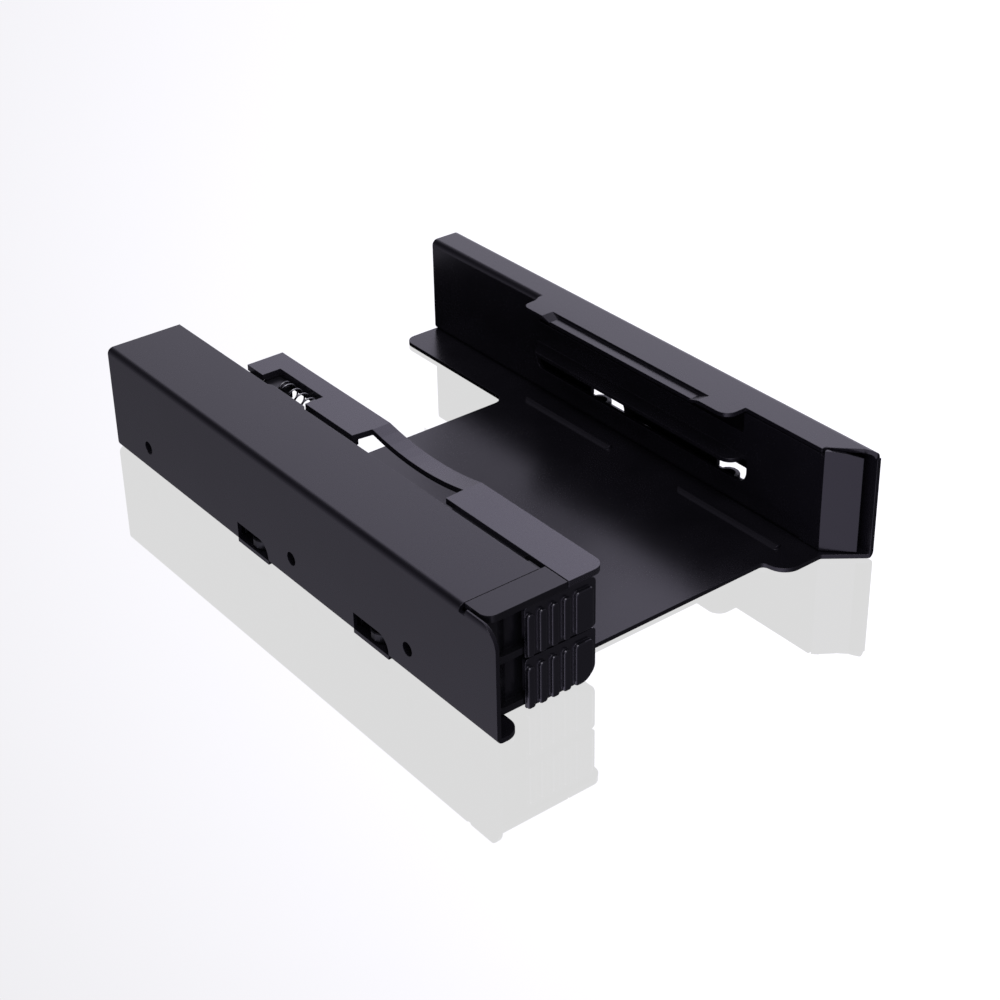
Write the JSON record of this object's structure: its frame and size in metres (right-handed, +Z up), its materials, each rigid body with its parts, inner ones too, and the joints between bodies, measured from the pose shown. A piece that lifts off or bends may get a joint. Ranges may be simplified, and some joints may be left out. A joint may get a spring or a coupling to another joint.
{
  "type": "tool-less drive mounting bracket",
  "caption": "Black sheet-steel bracket that holds slim drives in a desktop drive bay, with sprung finger latches and ejector slides on its left side.",
  "frame": {"origin": "centre of the bounding box at the underside of the sheet-steel base", "axes": "+Y from the latch end to the rear along the channels, +X from the latch side to the plain side, +Z up"},
  "size_m": [0.1016, 0.1454, 0.026],
  "materials": {
    "sheet_steel": "satin",
    "housing_plastic": "matte",
    "slider_plastic": "matte",
    "grip_plastic": "semi-gloss",
    "plated_steel": "satin",
    "screw_steel": "satin",
    "spring_wire": "satin"
  },
  "bodies": {
    "bracket": {"frame": "sheet_steel", "clinch_nut_left_front": "plated_steel", "clinch_nut_left_rear": "plated_steel", "clinch_nut_right_front": "plated_steel", "clinch_nut_right_rear": "plated_steel", "lower_housing": "housing_plastic", "upper_housing": "housing_plastic", "housing_screw_front": "screw_steel", "housing_screw_rear": "screw_steel", "lower_latch_spring": "spring_wire", "upper_latch_spring": "spring_wire", "lower_ejector_spring": "spring_wire", "upper_ejector_spring": "spring_wire"},
    "upper_latch": {"upper_latch": "grip_plastic"},
    "lower_latch": {"lower_latch": "grip_plastic"},
    "upper_ejector": {"upper_ejector": "slider_plastic"},
    "lower_ejector": {"lower_ejector": "slider_plastic"}
  },
  "joints": [
    {"name": "upper_latch_slide", "type": "slide", "parent": "bracket", "child": "upper_latch", "axis": [-1, 0, 0], "range_m": [0, 0.0042], "stiffness_N_per_m": 350, "springref_m": -0.002, "deforming": ["upper_latch_spring"]},
    {"name": "lower_latch_slide", "type": "slide", "parent": "bracket", "child": "lower_latch", "axis": [-1, 0, 0], "range_m": [0, 0.0042], "stiffness_N_per_m": 350, "springref_m": -0.002, "deforming": ["lower_latch_spring"]},
    {"name": "upper_ejector_slide", "type": "slide", "parent": "bracket", "child": "upper_ejector", "axis": [0, 1, 0], "range_m": [0, 0.0075], "stiffness_N_per_m": 250, "springref_m": -0.002, "deforming": ["upper_ejector_spring"]},
    {"name": "lower_ejector_slide", "type": "slide", "parent": "bracket", "child": "lower_ejector", "axis": [0, 1, 0], "range_m": [0, 0.0075], "stiffness_N_per_m": 250, "springref_m": -0.002, "deforming": ["lower_ejector_spring"]}
  ]
}
